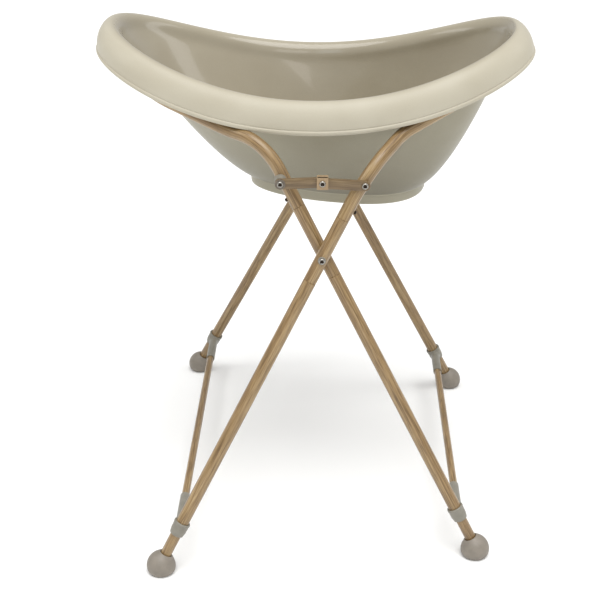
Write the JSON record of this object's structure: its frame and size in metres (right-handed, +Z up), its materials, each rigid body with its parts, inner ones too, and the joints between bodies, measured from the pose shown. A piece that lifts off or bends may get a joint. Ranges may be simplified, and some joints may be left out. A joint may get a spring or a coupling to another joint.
{
  "type": "baby bath on a folding stand",
  "caption": "Baby bath with a rolled saddle-shaped rim, held between the tubular arms of a folding X stand with hinged braces and round feet.",
  "frame": {"origin": "on the floor under the middle of the bath", "axes": "+X towards the bath's steeper foot end, +Y towards the rear legs, +Z up"},
  "size_m": [0.8579, 0.9098, 1.0002],
  "materials": {
    "bath_plastic": "glossy warm grey-beige moulding",
    "trim_plastic": "satin pale beige moulding",
    "foot_plastic": "soft satin pale grey-beige moulding",
    "wood_print": "satin light wood-grain print on steel tube",
    "steel": "bright zinc-plated fasteners"
  },
  "bodies": {
    "frame_a": {"brace_bolt_a_front": "steel", "brace_bolt_a_rear": "steel", "collar_a_front": "trim_plastic", "collar_a_rear": "trim_plastic", "foot_a_front": "foot_plastic", "foot_a_rear": "foot_plastic", "foot_tube_a_front": "wood_print", "foot_tube_a_rear": "wood_print", "leg_tube_a_front": "wood_print", "leg_tube_a_rear": "wood_print", "pivot_bolt_front": "steel", "pivot_bolt_rear": "steel", "pivot_spacer_front": "trim_plastic", "pivot_spacer_rear": "trim_plastic", "pivot_tube_a_front": "wood_print", "pivot_tube_a_rear": "wood_print", "pivot_washer_front": "trim_plastic", "pivot_washer_rear": "trim_plastic", "side_rod_a": "wood_print", "upper_frame_a": "wood_print"},
    "frame_b": {"brace_bolt_b_front": "steel", "brace_bolt_b_rear": "steel", "brace_stand_off_front": "trim_plastic", "brace_stand_off_rear": "trim_plastic", "collar_b_front": "trim_plastic", "collar_b_rear": "trim_plastic", "foot_b_front": "foot_plastic", "foot_b_rear": "foot_plastic", "foot_tube_b_front": "wood_print", "foot_tube_b_rear": "wood_print", "leg_tube_b_front": "wood_print", "leg_tube_b_rear": "wood_print", "pivot_nut_front": "steel", "pivot_nut_rear": "steel", "pivot_tube_b_front": "wood_print", "pivot_tube_b_rear": "wood_print", "side_rod_b": "wood_print", "upper_frame_b": "wood_print"},
    "bath": {"bath_shell": "bath_plastic"},
    "drain_plug": {"drain_plug": "trim_plastic"},
    "brace_a_front": {"brace_bar_a_front": "wood_print", "brace_link_bolt_front": "steel", "brace_stop_front": "trim_plastic"},
    "brace_b_front": {"brace_bar_b_front": "wood_print", "brace_link_nut_front": "steel"},
    "snap_button_a_front": {"snap_button_a_front": "steel"},
    "snap_button_b_front": {"snap_button_b_front": "steel"},
    "brace_a_rear": {"brace_bar_a_rear": "wood_print", "brace_link_bolt_rear": "steel", "brace_stop_rear": "trim_plastic"},
    "brace_b_rear": {"brace_bar_b_rear": "wood_print", "brace_link_nut_rear": "steel"},
    "snap_button_a_rear": {"snap_button_a_rear": "steel"},
    "snap_button_b_rear": {"snap_button_b_rear": "steel"}
  },
  "joints": [
    {"name": "stand_fold", "type": "hinge", "parent": "frame_a", "child": "frame_b", "pos_m": [0.017, 0, 0.63], "axis": [0, 1, 0], "range_deg": [0, 45]},
    {"name": "bath_lift", "type": "slide", "parent": "frame_a", "child": "bath", "axis": [0, 0, 1], "range_m": [0, 0.72]},
    {"name": "brace_a_front_hinge", "type": "hinge", "parent": "frame_a", "child": "brace_a_front", "pos_m": [0.09418, -0.3068, 0.771], "axis": [0, 1, 0], "range_deg": [0, 99]},
    {"name": "brace_b_front_hinge", "type": "hinge", "parent": "frame_b", "child": "brace_b_front", "pos_m": [-0.06018, -0.3068, 0.771], "axis": [0, 1, 0], "range_deg": [-99, 0]},
    {"name": "brace_a_rear_hinge", "type": "hinge", "parent": "frame_a", "child": "brace_a_rear", "pos_m": [0.09418, 0.3068, 0.771], "axis": [0, 1, 0], "range_deg": [0, 99]},
    {"name": "brace_b_rear_hinge", "type": "hinge", "parent": "frame_b", "child": "brace_b_rear", "pos_m": [-0.06018, 0.3068, 0.771], "axis": [0, 1, 0], "range_deg": [-99, 0]},
    {"name": "snap_button_a_front_press", "type": "slide", "parent": "frame_a", "child": "snap_button_a_front", "axis": [-0.8901, 0, 0.4557], "range_m": [0, 0.003], "stiffness_N_per_m": 500, "springref_m": -0.002},
    {"name": "snap_button_b_front_press", "type": "slide", "parent": "frame_b", "child": "snap_button_b_front", "axis": [0.8901, 0, 0.4557], "range_m": [0, 0.003], "stiffness_N_per_m": 500, "springref_m": -0.002},
    {"name": "snap_button_a_rear_press", "type": "slide", "parent": "frame_a", "child": "snap_button_a_rear", "axis": [-0.8901, 0, 0.4557], "range_m": [0, 0.003], "stiffness_N_per_m": 500, "springref_m": -0.002},
    {"name": "snap_button_b_rear_press", "type": "slide", "parent": "frame_b", "child": "snap_button_b_rear", "axis": [0.8901, 0, 0.4557], "range_m": [0, 0.003], "stiffness_N_per_m": 500, "springref_m": -0.002},
    {"name": "drain_plug_pull", "type": "slide", "parent": "bath", "child": "drain_plug", "axis": [0, 0, 1], "range_m": [0, 0.03]}
  ],
  "couplings": [
    {"joint": "bath_lift", "follows": "stand_fold", "m_per_rad": 0.9},
    {"joint": "brace_a_front_hinge", "follows": "stand_fold", "ratio": 2.1458},
    {"joint": "brace_b_front_hinge", "follows": "stand_fold", "ratio": -2.1458},
    {"joint": "brace_a_rear_hinge", "follows": "stand_fold", "ratio": 2.1458},
    {"joint": "brace_b_rear_hinge", "follows": "stand_fold", "ratio": -2.1458}
  ]
}
